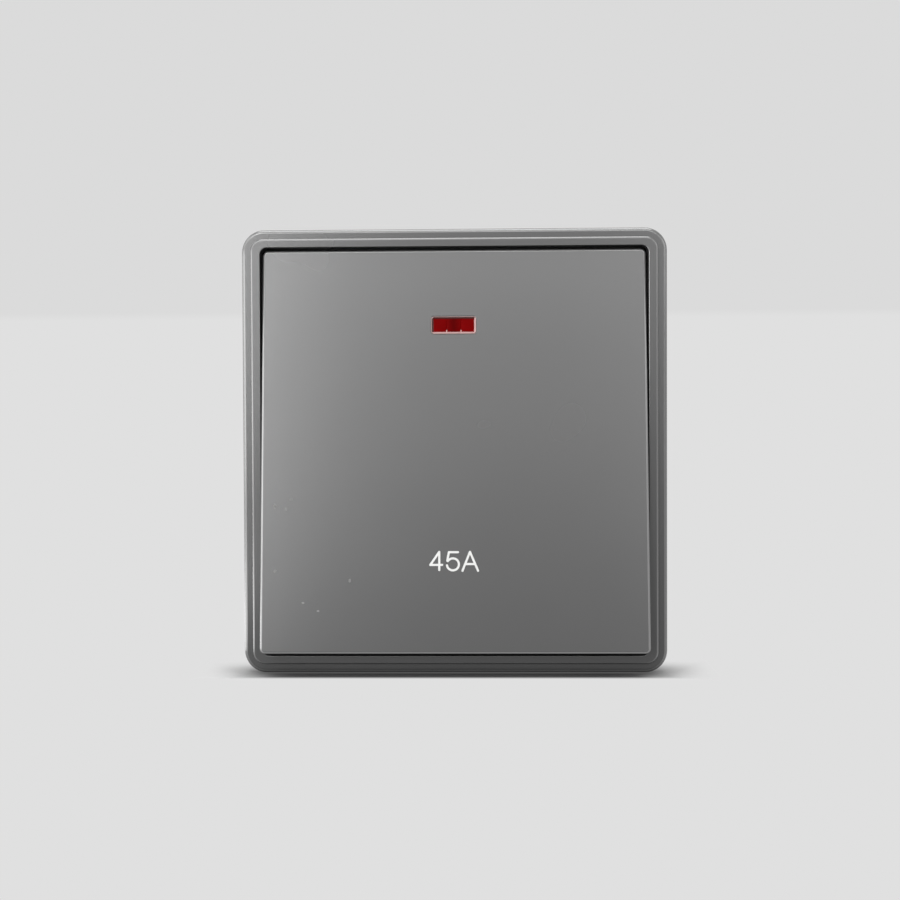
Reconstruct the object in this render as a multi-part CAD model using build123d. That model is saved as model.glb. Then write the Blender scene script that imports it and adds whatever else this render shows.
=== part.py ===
from build123d import *
from math import cos, radians, sin, sqrt
import os

# Air conditioner switch, single flush plate with one full-size rocker.
# Millimetres. X to the right, Z up, Y into the wall. The wall plane is y = 0 and the origin
# is the centre of the two fixing slots on it. Parts are drawn where they are with the switch off.

# Front frame
plate_w = 86.0
plate_h = 90.0
frame_depth = 10.0
corner_r = 4.5
tier_inset = 2.0
tier_step = 1.4
outer_round = 0.8
tier_round = 0.45
band_x = 1.9
band_z = 1.75
opening_r = 1.5
opening_round = 0.15
front_skin = 1.9
pry_w = 10.0
pry_depth = 1.4

# Rocker
rocker_gap_x = 0.4
rocker_gap_z = 0.75
rocker_round = 0.5
rocker_skin = 2.0
skirt_wall = 1.6
skirt_r = 0.6
skirt_clear = 0.55
rocker_proud = 2.0
pivot_depth = 5.0
rocker_angle = 4.9
rib_wall = 1.0
rib_depth = 2.2
rib_x_in = 26.0
rib_x_out = 33.0
rib_z = 33.0
hook_x = 12.0
hook_z = 15.0
hook_w = 4.0
hook_wall = 1.2
hook_barb = 1.2
hook_barb_skin = 0.8
hook_play = 0.05

# Lens
lens_w = 9.0
lens_h = 3.5
lens_r = 0.55
lens_height = 25.1
lens_recess = 0.05
lens_rim = 0.4
lens_sink = 0.35
lens_round = 0.12
lens_flange = 1.2
lens_flange_skin = 0.7
facet_pitch = 2.9
facet_w = 0.26
window_bevel = 0.12
window_play = 0.06
shroud_play = 0.1
shroud_wall = 0.8
shroud_depth = 1.4

# Chassis
chassis_play = 0.3
chassis_skin = 1.8
rim_wall = 1.4
rim_depth = 5.0
slot_spacing = 60.3
slot_r = 2.1
slot_length = 6.0
pad_w = 10.8
pad_h = 11.0
pad_depth = 3.0
head_r = 3.8
head_sink = 1.0
vent_w = 8.0
vent_h = 14.0
vent_x = 31.5
vent_z = 20.0
vent_r = 1.5
brace_z = 9.0
brace_wall = 1.2
brace_depth = 2.4
latch_w = 9.6
latch_x = 22.0
latch_skin = 1.6
latch_bite = 0.4
latch_play = 0.3
latch_seat = 0.1
latch_lead = 0.3

# Mechanism
housing_w = 48.0
housing_h = 52.0
housing_depth = 26.0
housing_wall = 1.8
housing_r = 1.6
housing_in_r = 0.6
housing_round = 1.0
partition_wall = 1.8
guide_wall = 0.6
rest_wall = 1.0
window_gap = 0.2
cover_skin = 1.6
cover_edge = 0.6
cover_r = 1.2
pocket_skin = 0.4
pocket_z = 7.0
pocket_edge = 5.0
cover_rise = 29.0
cover_drop = 27.0
spigot_depth = 1.5
spigot_play = 0.1
trunnion_r = 1.5
trunnion_fit = 0.05
cheek_wall = 3.4
cheek_in = 18.2
cheek_z = 3.2
snap_slot = 2.5
snap_lead = 2.5
box_screw_r = 1.2
box_screw_head = 2.1
box_screw_cap = 1.8
box_screw_x = 20.0
box_screw_z = 22.0
box_screw_sink = 14.0
box_screw_play = 0.2
box_post = 2.8
drive_w = 0.6
drive_arm = 1.3
drive_depth = 0.7

# Carrier and plungers
carrier_z = 18.0
carrier_skin = 1.5
carrier_r = 1.0
arm_wall = 1.7
arm_z = 2.8
arm_gap = 0.5
trunnion_short = 0.2
foot_z0 = 12.5
foot_z1 = 17.0
foot_w = 12.0
foot_blank = 4.0
rest_gap = 0.03
pole_x = 11.5
barrel_r = 3.2
barrel_length = 7.0
barrel_room = 0.5
barrel_swing = 1.0
plunger_r = 2.25
bore_play = 0.05
nose_r = 1.5
nose_reach = 14.0
plunger_top = 4.0
plunger_shoulder = 9.5
plunger_lead = 0.4
spring_r = 1.55
spring_wire = 0.36
spring_turns = 5
spring_gap = 0.03

# Contacts
lever_angle = 8.0
lever_w = 5.0
lever_skin = 1.4
lever_up = 11.0
lever_down = 9.5
hub_r = 1.2
hub_short = 0.1
hub_fit = 0.05
tip_r = 1.9
tip_skin = 0.8
tip_edge = 0.2
tip_height = 9.0
strap_w = 7.0
strap_skin = 1.1
strap_tail = 2.2
strap_foot = 1.6
step_z = 12.0
contact_pad = 3.0
cradle_w = 4.8
cradle_z = 1.6
cradle_gap = 0.98
prop_w = 4.0
prop_z0 = 6.0
prop_z1 = 8.6
prop_play = 0.35
prop_tail = 3.0

# Terminals
terminal_w = 9.0
terminal_length = 9.5
terminal_end = 24.0
terminal_front_wall = 1.1
terminal_rear_wall = 2.4
terminal_stand = 1.9
terminal_play = 0.2
terminal_round = 0.6
bore_r = 3.0
bore_lead = 0.4
wire_hole_r = 3.6
clamp_r = 1.95
clamp_fit = 0.05
clamp_head_r = 3.2
clamp_head = 2.2
clamp_open = 1.0
clamp_short = 0.2
clamp_lead = 0.3
clamp_slot = 1.0
well_r = 3.6

# Lamp
lamp_r = 1.5
lamp_length = 9.0
lamp_fit = 0.05
clip_wall = 0.65
clip_w = 1.2
clip_open = 0.5
clip_x = 3.0
resistor_r = 1.1
resistor_waist = 0.95
resistor_cap = 1.4
resistor_round = 0.3
resistor_x0 = 6.8
resistor_x1 = 12.8
lead_r = 0.25
lead_hole_r = 0.55
lead_gap = 0.02
lead_x = 14.2
lead_z = 21.0

# How far a drawn piece runs into the one it is fused with
bite = 0.5

# Derived sizes
front_y = -frame_depth
shelf_y = front_y + tier_step
wall_in_w = plate_w - 2 * tier_inset
wall_in_h = plate_h - 2 * tier_inset
chassis_w = wall_in_w - 2 * chassis_play
chassis_h = wall_in_h - 2 * chassis_play
wall_in_r = corner_r - tier_inset
chassis_r = wall_in_r - chassis_play
opening_w = wall_in_w - 2 * band_x
opening_h = wall_in_h - 2 * band_z
rocker_w = opening_w - 2 * rocker_gap_x
rocker_h = opening_h - 2 * rocker_gap_z
rocker_r = opening_r - rocker_gap_x
skirt_in_w = rocker_w - 2 * skirt_wall
skirt_in_h = rocker_h - 2 * skirt_wall
face_y = front_y - rocker_proud
inner_y = face_y + rocker_skin
pivot_y = face_y + pivot_depth
flange_y = -chassis_skin - cover_skin
carrier_w = 2 * (cheek_in - arm_gap)
spigot_w = housing_w - 2 * housing_wall - 2 * spigot_play
spigot_h = housing_h - 2 * housing_wall - 2 * spigot_play
window_w = spigot_w + 2 * window_gap
window_h = spigot_h + 2 * window_gap
floor_y = housing_depth - housing_wall
nose_c = nose_reach - nose_r
a = radians(rocker_angle)
b = radians(lever_angle)
# The skirt stops skirt_clear in front of the chassis at the pressed end.
skirt_y = pivot_y + (-chassis_skin - skirt_clear - pivot_y - rocker_h / 2 * sin(a)) / cos(a)
half = lever_skin / 2
# Fulcrum depth behind the pivot that leaves rest_gap between nose and lever at both ends of the travel.
fulcrum_back = (nose_r + rest_gap + half + nose_c * cos(a + b)) / cos(b)
fulcrum_y = pivot_y + fulcrum_back
# The groove in the lever follows the nose across the middle of the travel.
last_y = -(cos(b) * (fulcrum_back - nose_c * cos(a)) + nose_c * sin(a) * sin(b))
last_z = nose_c * sin(a) * cos(b) - (fulcrum_back - nose_c * cos(a)) * sin(b)
mid_y = -(fulcrum_back - nose_c)
groove_y = mid_y + nose_r + rest_gap
k1 = groove_y - last_y
k2 = groove_y - mid_y
groove_r = (k1 * k1 + last_z * last_z - k2 * k2) / (2 * (k1 - k2))
fixed_tip_y = half + tip_skin + rest_gap
strap_c_y = (fixed_tip_y + tip_skin + strap_skin / 2) * cos(b) + tip_height * sin(b)
strap_y0 = fulcrum_y + strap_c_y - strap_skin / 2
strap_y1 = strap_y0 + strap_skin
# The terminals stand on ribs of the housing's floor, and each strap steps over to its terminal.
terminal_y1 = floor_y - terminal_stand
bore_y = terminal_y1 - terminal_rear_wall - bore_r
terminal_y0 = bore_y - bore_r - terminal_front_wall
terminal_z0 = terminal_end - terminal_length
terminal_z = terminal_end - terminal_length / 2
lamp_z = lens_height + pivot_depth * sin(a) * 0.5
lamp_y = flange_y - lamp_fit - lamp_r


def block(x0, x1, y0, y1, z0, z1):
    centre = ((x0 + x1) / 2, (y0 + y1) / 2, (z0 + z1) / 2)
    return Pos(*centre) * Box(x1 - x0, y1 - y0, z1 - z0)


def slab(w, h, r, y0, y1):
    return extrude(Plane.XZ.offset(-y1) * RectangleRounded(w, h, r), y1 - y0)


def rod_x(r, x0, x1, y, z):
    return Pos((x0 + x1) / 2, y, z) * Rot(0, 90, 0) * Cylinder(r, x1 - x0)


def rod_y(r, x, y0, y1, z):
    return Pos(x, (y0 + y1) / 2, z) * Rot(90, 0, 0) * Cylinder(r, y1 - y0)


def rod_z(r, x, y, z0, z1):
    return Pos(x, y, (z0 + z1) / 2) * Cylinder(r, z1 - z0)


def slot_y(r, length, x, y0, y1):
    return Pos(x, 0, 0) * extrude(Plane.XZ.offset(-y1) * SlotOverall(length, 2 * r), y1 - y0)


def turned(shape, y, angle):
    return Pos(0, y, 0) * Rot(angle, 0, 0) * Pos(0, -y, 0) * shape


def save(name, shape):
    export_step(shape, "parts/" + name + ".step")
    print(name, len(shape.solids()), round(shape.volume, 1))


os.makedirs("parts", exist_ok=True)

# Front frame: two tiers, hollow behind, opening for the rocker
lower = slab(plate_w, plate_h, corner_r, shelf_y, 0)
lower = fillet(lower.faces().sort_by(Axis.Y)[0].edges(), outer_round)
upper = slab(wall_in_w, wall_in_h, wall_in_r, front_y, shelf_y + bite)
upper = fillet(upper.faces().sort_by(Axis.Y)[0].edges(), tier_round)
frame = lower + upper
frame -= slab(wall_in_w, wall_in_h, wall_in_r, front_y + front_skin, 1)
frame -= slab(opening_w, opening_h, opening_r, front_y - 1, 0)
lip = [
    e
    for e in frame.faces().sort_by(Axis.Y)[0].edges()
    if abs(e.center().X) < opening_w / 2 + 0.2 and abs(e.center().Z) < opening_h / 2 + 0.2
]
frame = fillet(lip, opening_round)
latch_y0 = -chassis_skin - latch_skin
pocket_w = latch_w / 2 + latch_play
for sz in (-1, 1):
    for sx in (-1, 1):
        z_in = wall_in_h / 2
        z_out = z_in + latch_bite + latch_play
        pocket_y1 = latch_seat - chassis_skin
        pocket = block(-pocket_w, pocket_w, latch_y0 - latch_play, pocket_y1, z_in - bite, z_out)
        pocket = pocket if sz > 0 else Rot(0, 180, 0) * pocket
        frame -= Pos(sx * latch_x, 0, 0) * pocket
frame -= block(-pry_w / 2, pry_w / 2, -pry_depth, 1, -plate_h / 2 - 1, bite - wall_in_h / 2)
save("front_frame", frame)

# Mounting chassis: plate, rim, slots with sunk pads, latches
chassis = slab(chassis_w, chassis_h, chassis_r, -rim_depth, 0)
tray_w = chassis_w - 2 * rim_wall
tray_h = chassis_h - 2 * rim_wall
chassis -= slab(tray_w, tray_h, chassis_r * 0.4, -rim_depth - 1, -chassis_skin)
for sx in (-1, 1):
    x = sx * slot_spacing / 2
    chassis += block(x - pad_w / 2, x + pad_w / 2, -pad_depth, -bite, -pad_h / 2, pad_h / 2)
brace_x = chassis_w / 2 - rim_wall + bite
for sz in (-1, 1):
    z = sz * (window_h / 2 + brace_z)
    chassis += block(-brace_x, brace_x, -brace_depth, -bite, z - brace_wall / 2, z + brace_wall / 2)
    for sx in (-1, 1):
        chassis -= Pos(sx * vent_x, 0, sz * vent_z) * slab(vent_w, vent_h, vent_r, -pad_depth, 1)
chassis -= slab(window_w, window_h, housing_in_r + window_gap, -pad_depth - 1, 1)
for sx in (-1, 1):
    x = sx * slot_spacing / 2
    chassis -= slot_y(slot_r, slot_length, x, -pad_depth - 1, 1)
    seat_length = slot_length + 2 * (head_r - slot_r)
    chassis -= slot_y(head_r, seat_length, x, -pad_depth - 1, head_sink - pad_depth)
for sz in (-1, 1):
    for sx in (-1, 1):
        z_in = chassis_h / 2
        z_out = wall_in_h / 2 + latch_bite
        latch = block(-latch_w / 2, latch_w / 2, latch_y0, -chassis_skin, z_in - bite, z_out)
        latch = chamfer(latch.edges().group_by(Axis.Z)[-1].sort_by(Axis.Y)[0], latch_lead)
        latch = latch if sz > 0 else Rot(0, 180, 0) * latch
        chassis += Pos(sx * latch_x, 0, 0) * latch
save("mounting_chassis", chassis)

# Mechanism housing: box behind the wall plane with two chambers
inner_w = housing_w - 2 * housing_wall
inner_h = housing_h - 2 * housing_wall
housing = slab(housing_w, housing_h, housing_r, 0, housing_depth)
housing = fillet(housing.faces().sort_by(Axis.Y)[-1].edges(), housing_round)
housing -= slab(inner_w, inner_h, housing_in_r, -1, floor_y)
rib_y = floor_y + bite
wall = partition_wall / 2
end_z = inner_h / 2 + bite
housing += block(-wall, wall, 2 * spigot_depth, rib_y, -end_z, end_z)
for sx in (-1, 1):
    x = sx * pole_x
    t = terminal_w / 2 + terminal_play
    guide = t + guide_wall
    for sz in (-1, 1):
        rest_z = terminal_z0 - terminal_play
        z0, z1 = sorted((sz * rest_z, sz * end_z))
        housing += block(x - t, x + t, terminal_y1, rib_y, z0, z1)
        for side in (-1, 1):
            x0, x1 = sorted((x + side * t, x + side * guide))
            housing += block(x0, x1, terminal_y0, rib_y, z0, z1)
        z0, z1 = sorted((sz * (rest_z - rest_wall), sz * rest_z))
        housing += block(x - guide, x + guide, terminal_y0 + terminal_front_wall, rib_y, z0, z1)
        x0, x1 = sorted((sx * (box_screw_x - box_post), sx * (inner_w / 2 + bite)))
        z0, z1 = sorted((sz * (box_screw_z - box_post), sz * end_z))
        housing += block(x0, x1, spigot_depth, rib_y, z0, z1)
    housing += block(x - prop_w / 2, x + prop_w / 2, strap_y1 + prop_play, rib_y, prop_z0, prop_z1)
    housing += block(x - cradle_w / 2, x + cradle_w / 2, strap_y1, rib_y, -prop_tail, strap_tail)
rear = housing_depth + 1
for sx in (-1, 1):
    for sz in (-1, 1):
        x = sx * pole_x
        housing -= rod_y(well_r, x, terminal_y1 - bite, rear, sz * terminal_z)
        z0, z1 = sorted((sz * (inner_h / 2 - bite), sz * (housing_h / 2 + 1)))
        housing -= rod_z(wire_hole_r, x, bore_y, z0, z1)
        x = sx * box_screw_x
        z = sz * box_screw_z
        housing -= rod_y(box_screw_r + box_screw_play, x, 0, rear, z)
        housing -= rod_y(box_screw_head + box_screw_play, x, box_screw_sink, rear, z)
save("mechanism_housing", housing)

# Mechanism cover: flange in front of the chassis, spigot, bearing cheeks, lamp clips
cover_c = (cover_rise - cover_drop) / 2
screw_y0 = flange_y + 1.0
flange_w = housing_w + 2 * cover_edge
cover = Pos(0, 0, cover_c) * slab(flange_w, cover_rise + cover_drop, cover_r, flange_y, -chassis_skin)
cover += slab(spigot_w, spigot_h, housing_in_r, -chassis_skin, spigot_depth)
for sz in (-1, 1):
    x = cheek_in - 1
    z0, z1 = sorted((sz * pocket_z, sz * (spigot_h / 2 - pocket_edge)))
    cover -= block(-x, x, pocket_skin - chassis_skin, spigot_depth + 1, z0, z1)
for sx in (-1, 1):
    x0, x1 = sorted((sx * cheek_in, sx * (cheek_in + cheek_wall)))
    cheek = block(x0, x1, pivot_y, flange_y + bite, -cheek_z, cheek_z)
    cheek += rod_x(cheek_z, x0, x1, pivot_y, 0)
    top_y = pivot_y - 2 * cheek_z
    cheek -= block(x0 - 1, x1 + 1, top_y, pivot_y - snap_lead, -cheek_z, cheek_z)
    cheek -= rod_x(trunnion_r + trunnion_fit, x0 - 1, x1 + 1, pivot_y, 0)
    cheek -= block(x0 - 1, x1 + 1, top_y, pivot_y, -snap_slot / 2, snap_slot / 2)
    cover += cheek
    x = sx * pole_x
    r = barrel_r + barrel_room
    slot_z = barrel_r + barrel_swing
    cover -= block(x - r, x + r, flange_y - 1, spigot_depth + 1, -slot_z, slot_z)
    cover -= rod_y(lead_hole_r, sx * lead_x, flange_y - 1, spigot_depth + 1, lead_z)
    for sz in (-1, 1):
        x = sx * box_screw_x
        z = sz * box_screw_z
        cover -= rod_y(box_screw_r + hub_fit, x, screw_y0 - box_screw_play, spigot_depth + 1, z)
    clip_h = lamp_r + clip_wall
    clip_y0 = lamp_y - clip_open
    clip = block(-clip_w / 2, clip_w / 2, clip_y0, flange_y + bite, lamp_z - clip_h, lamp_z + clip_h)
    clip -= rod_x(lamp_r + lamp_fit, -clip_w, clip_w, lamp_y, lamp_z)
    cover += Pos(sx * clip_x, 0, 0) * clip
save("mechanism_cover", cover)

# Screws that hold housing, chassis and cover together
screws = []
for sx in (-1, 1):
    for sz in (-1, 1):
        x = sx * box_screw_x
        z = sz * box_screw_z
        cap_y = box_screw_sink + box_screw_cap
        screw = rod_y(box_screw_r, x, screw_y0, box_screw_sink, z)
        screw += rod_y(box_screw_head, x, box_screw_sink, cap_y, z)
        for arm_x, arm_z_half in ((drive_arm, drive_w / 2), (drive_w / 2, drive_arm)):
            y0, y1 = cap_y - drive_depth, cap_y + 1
            screw -= block(x - arm_x, x + arm_x, y0, y1, z - arm_z_half, z + arm_z_half)
        screws.append(screw)
save("housing_screws", Compound(screws))

# Rocker cover in its middle position, then turned to off
rocker = slab(rocker_w, rocker_h, rocker_r, face_y, skirt_y)
rocker = fillet(rocker.faces().sort_by(Axis.Y)[0].edges(), rocker_round)
rocker -= slab(skirt_in_w, skirt_in_h, skirt_r, inner_y, skirt_y + 1)
rib_y0 = inner_y - bite
rib_y1 = inner_y + rib_depth
rib_end_x = skirt_in_w / 2 + bite
rib_end_z = skirt_in_h / 2 + bite
r = rib_wall / 2
for sx in (-1, 1):
    for x in (sx * rib_x_in, sx * rib_x_out):
        rocker += block(x - r, x + r, rib_y0, rib_y1, -rib_end_z, rib_end_z)
    z = sx * rib_z
    rocker += block(-rib_end_x, rib_end_x, rib_y0, rib_y1, z - r, z + r)
hook_y = inner_y + carrier_skin + rest_gap
hook_end = hook_y + hook_barb_skin
for sx in (-1, 1):
    for sz in (-1, 1):
        x0 = sx * hook_x - hook_w / 2
        x1 = sx * hook_x + hook_w / 2
        z = sz * hook_z
        rocker += block(x0, x1, rib_y0, hook_end, z - hook_wall / 2, z + hook_wall / 2)
        z0, z1 = sorted((z, z + sz * hook_barb))
        rocker += block(x0, x1, hook_y, hook_end, z0, z1)
shroud_w = lens_w + 2 * (lens_flange + shroud_play)
shroud_h = lens_h + 2 * (lens_flange + shroud_play)
thick = 2 * shroud_wall
shroud = slab(shroud_w + thick, shroud_h + thick, lens_r + shroud_wall, rib_y0, inner_y + shroud_depth)
shroud -= slab(shroud_w, shroud_h, lens_r, inner_y, inner_y + shroud_depth + 1)
rocker += Pos(0, 0, lens_height) * shroud
port_w = lens_w + 2 * window_play
port_h = lens_h + 2 * window_play
port_r = lens_r + window_play
wide = 2 * window_bevel
port = slab(port_w, port_h, port_r, face_y - 1, inner_y + 1)
near = RectangleRounded(port_w + wide, port_h + wide, port_r + window_bevel)
far = RectangleRounded(port_w, port_h, port_r)
near = Plane.XZ.offset(-face_y) * near
far = Plane.XZ.offset(-face_y - window_bevel) * far
rocker -= Pos(0, 0, lens_height) * (port + loft([near, far]))
save("rocker_cover", turned(rocker, pivot_y, -rocker_angle))

# Lens: raised rim, three sunk facets, and a flange behind the window
lens_y = face_y + lens_recess
sunk_w = lens_w - 2 * lens_rim
sunk_h = lens_h - 2 * lens_rim
lens = slab(lens_w, lens_h, lens_r, lens_y, inner_y + lens_flange_skin)
lens = fillet(lens.faces().sort_by(Axis.Y)[0].edges(), lens_round)
lens -= slab(sunk_w, sunk_h, lens_r - lens_round, lens_y - 1, lens_y + lens_sink)
wide = 2 * lens_flange
lens += slab(lens_w + wide, lens_h + wide, lens_r, inner_y, inner_y + lens_flange_skin)
for x in (-facet_pitch / 2, facet_pitch / 2):
    side = facet_w / sqrt(2)
    lens -= Pos(x, lens_y + lens_sink, 0) * Rot(0, 0, 45) * Box(side, side, sunk_h)
lens = Pos(0, 0, lens_height) * lens
save("indicator_lens", turned(lens, pivot_y, -rocker_angle))

# Carrier: plate under the cover, trunnions, stop feet, plunger barrels
carrier_y = inner_y + carrier_skin
carrier = slab(carrier_w, 2 * carrier_z, carrier_r, inner_y, carrier_y)
for sx in (-1, 1):
    x0, x1 = sorted((sx * (carrier_w / 2 - arm_wall), sx * carrier_w / 2))
    arm = block(x0, x1, carrier_y - bite, pivot_y, -arm_z, arm_z) + rod_x(arm_z, x0, x1, pivot_y, 0)
    trunnion_end = cheek_in + cheek_wall - trunnion_short
    x0, x1 = sorted((sx * (carrier_w / 2 - bite), sx * trunnion_end))
    carrier += arm + rod_x(trunnion_r, x0, x1, pivot_y, 0)
    x = sx * pole_x
    barrel_end = pivot_y + barrel_length
    carrier += rod_y(barrel_r, x, carrier_y - bite, barrel_end, 0)
    carrier -= rod_y(plunger_r + bore_play, x, pivot_y, barrel_end + 1, 0)
    for sz in (-1, 1):
        z = sz * hook_z
        x = sx * hook_x
        w = hook_w / 2 + hook_play
        t = hook_wall / 2 + hook_play
        carrier -= block(x - w, x + w, inner_y - 1, carrier_y + 1, z - t, z + t)
for sz in (-1, 1):
    z0, z1 = sorted((sz * foot_z0, sz * foot_z1))
    foot = block(-foot_w / 2, foot_w / 2, carrier_y - bite, flange_y + foot_blank, z0, z1)
    stop = block(-foot_w, foot_w, flange_y - rest_gap, flange_y + 20, -3 * foot_z1, 3 * foot_z1)
    foot -= turned(stop, pivot_y, sz * rocker_angle)
    carrier += foot
save("rocker_carrier", turned(carrier, pivot_y, -rocker_angle))

# Plungers and their springs, inside the barrels
for sx, side in ((-1, "left"), (1, "right")):
    x = sx * pole_x
    plunger = rod_y(plunger_r, x, pivot_y + plunger_top, pivot_y + plunger_shoulder, 0)
    plunger = chamfer(plunger.edges().sort_by(Axis.Y)[-1], plunger_lead)
    plunger += rod_y(nose_r, x, pivot_y + plunger_shoulder - bite, pivot_y + nose_c, 0)
    plunger += Pos(x, pivot_y + nose_c, 0) * Sphere(nose_r)
    save("plunger_" + side, turned(plunger, pivot_y, -rocker_angle))
    free = plunger_top - 2 * spring_gap
    pitch = (free - spring_wire) / spring_turns
    path = Helix(pitch, free - spring_wire, spring_r)
    start = path @ 0
    section = Plane(origin=start, x_dir=(1, 0, 0), z_dir=path % 0) * Circle(spring_wire / 2)
    coil = sweep(section, path=path)
    coil = Pos(x, pivot_y + spring_gap + spring_wire / 2, 0) * Rot(-90, 0, 0) * coil
    save("plunger_spring_" + side, turned(coil, pivot_y, -rocker_angle))



def strap(start, sz):
    # Strip bent from sheet, pressed flat on the fulcrum or contact side, with a step to the terminal.
    y0, y1 = strap_y0, terminal_y0 - strap_skin
    z0, z1 = sorted((sz * start, sz * (step_z + strap_skin)))
    strip = block(-strap_w / 2, strap_w / 2, y0, y0 + strap_skin, z0, z1)
    z0, z1 = sorted((sz * step_z, sz * terminal_end))
    strip += block(-strap_w / 2, strap_w / 2, y1, y1 + strap_skin, z0, z1)
    z0, z1 = sorted((sz * step_z, sz * (step_z + strap_skin)))
    return strip + block(-strap_w / 2, strap_w / 2, min(y0, y1), max(y0, y1) + strap_skin, z0, z1)


# Contact levers with their tips, straps, fixed tips and terminals, one set for each pole
fixed_tips = []
clamps = []
for sx, side in ((-1, "left"), (1, "right")):
    x = sx * pole_x
    lever = block(-lever_w / 2, lever_w / 2, -half, half, -lever_down, lever_up)
    w = lever_w / 2 - hub_short
    lever += rod_x(hub_r, -w, w, 0, 0) - block(-lever_w, lever_w, -lever_w, 0, -lever_w, lever_w)
    lever -= rod_x(groove_r, -lever_w, lever_w, groove_y - groove_r, 0)
    tip = rod_y(tip_r, 0, half, half + tip_skin, tip_height)
    tip = chamfer(tip.edges().sort_by(Axis.Y)[-1], tip_edge)
    fixed = rod_y(tip_r, 0, fixed_tip_y, fixed_tip_y + tip_skin, tip_height)
    fixed = chamfer(fixed.edges().sort_by(Axis.Y)[0], tip_edge)
    pad_y = fixed_tip_y + tip_skin
    z0, z1 = tip_height - contact_pad, tip_height + contact_pad
    pad = block(-contact_pad, contact_pad, pad_y, pad_y + strap_skin, z0, z1)
    off = Pos(x, fulcrum_y, 0) * Rot(lever_angle, 0, 0)
    on = Pos(x, fulcrum_y, 0) * Rot(-lever_angle, 0, 0)
    save("contact_lever_" + side, off * lever)
    save("moving_tip_" + side, off * tip)
    fixed_tips.append(on * fixed)
    save("load_strap_" + side, Pos(x, 0, 0) * strap(tip_height + strap_foot, 1) + on * pad)
    w = cradle_w / 2
    cradle = block(x - w, x + w, fulcrum_y + cradle_gap, strap_y0 + bite, -cradle_z, cradle_z)
    cradle -= rod_x(hub_r + hub_fit, x - strap_w, x + strap_w, fulcrum_y, 0)
    save("supply_strap_" + side, Pos(x, 0, 0) * strap(-strap_tail, -1) + cradle)
    for sz, duty in ((1, "load"), (-1, "supply")):
        z0, z1 = sorted((sz * terminal_z0, sz * terminal_end))
        t = terminal_w / 2
        z = sz * terminal_z
        terminal = block(x - t, x + t, terminal_y0, terminal_y1, z0, z1)
        terminal = fillet(terminal.edges().filter_by(Axis.Z), terminal_round)
        terminal -= rod_z(bore_r, x, bore_y, z0 - 1, z1 + 1)
        mouth = terminal.faces().sort_by(Axis.Z)[-1 if sz > 0 else 0].edges().filter_by(GeomType.CIRCLE)
        terminal = chamfer([e for e in mouth if abs(e.radius - bore_r) < 0.01], bore_lead)
        terminal -= rod_y(clamp_r + clamp_fit, x, bore_y, terminal_y1 + 1, z)
        save("terminal_" + duty + "_" + side, terminal)
        head_y = terminal_y1 + clamp_open
        screw = rod_y(clamp_r, x, terminal_y1 - terminal_rear_wall + clamp_short, head_y, z)
        screw = chamfer(screw.edges().sort_by(Axis.Y)[0], clamp_lead)
        screw += rod_y(clamp_head_r, x, head_y, head_y + clamp_head, z)
        w = clamp_slot / 2
        r = clamp_head_r + 1
        screw -= block(x - w, x + w, head_y + clamp_slot, head_y + clamp_head + 1, z - r, z + r)
        clamps.append(screw)
save("fixed_contact_tips", Compound(fixed_tips))
save("clamp_screws", Compound(clamps))

# Neon lamp, its resistor and leads
lamp_x = lamp_length / 2 - lamp_r
lamp = rod_x(lamp_r, -lamp_x, lamp_x, lamp_y, lamp_z)
lamp += Pos(-lamp_x, lamp_y, lamp_z) * Sphere(lamp_r)
lamp += Pos(lamp_x, lamp_y, lamp_z) * Sphere(lamp_r)
save("indicator_lamp", lamp)
resistor = rod_x(resistor_waist, resistor_x0, resistor_x1, lamp_y, lamp_z)
for x0, x1 in ((resistor_x0, resistor_x0 + resistor_cap), (resistor_x1 - resistor_cap, resistor_x1)):
    cap = rod_x(resistor_r, x0, x1, lamp_y, lamp_z)
    resistor += fillet(cap.edges().filter_by(GeomType.CIRCLE), resistor_round)
save("lamp_resistor", resistor)


def wire(points):
    # Round wire through axis-parallel points, with a ball at each bend.
    shape = None
    for p, q in zip(points, points[1:]):
        p, q = Vector(*p), Vector(*q)
        piece = Plane(origin=(p + q) * 0.5, z_dir=q - p) * Cylinder(lead_r, (q - p).length)
        shape = piece if shape is None else shape + Pos(*p) * Sphere(lead_r) + piece
    return shape


lead_y = terminal_y0 - strap_skin - lead_gap
lamp_end = lamp_length / 2 + lead_gap
leads = [rod_x(lead_r, lamp_end, resistor_x0 - lead_gap, lamp_y, lamp_z)]
for x0, x in ((resistor_x1 + lead_gap, lead_x), (-lamp_end, -lead_x)):
    leads.append(wire([(x0, lamp_y, lamp_z), (x, lamp_y, lamp_z), (x, lamp_y, lead_z), (x, lead_y, lead_z)]))
save("lamp_leads", Compound(leads))
print("pivot", pivot_y, "fulcrum", round(fulcrum_y, 4), "groove", round(groove_r, 3), round(groove_y, 3))
print("strap", round(strap_y0, 3), "bore", round(bore_y, 3), "rear", round(terminal_y1, 3))
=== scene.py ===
# Air conditioner switch: stepped frame, full-plate rocker with a red lens, mechanism behind.
# Metres, in the model's own frame: x to the right, z up, the face looks towards -y.
import math

import bpy
import numpy as np
from mathutils import Matrix, Vector


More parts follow.
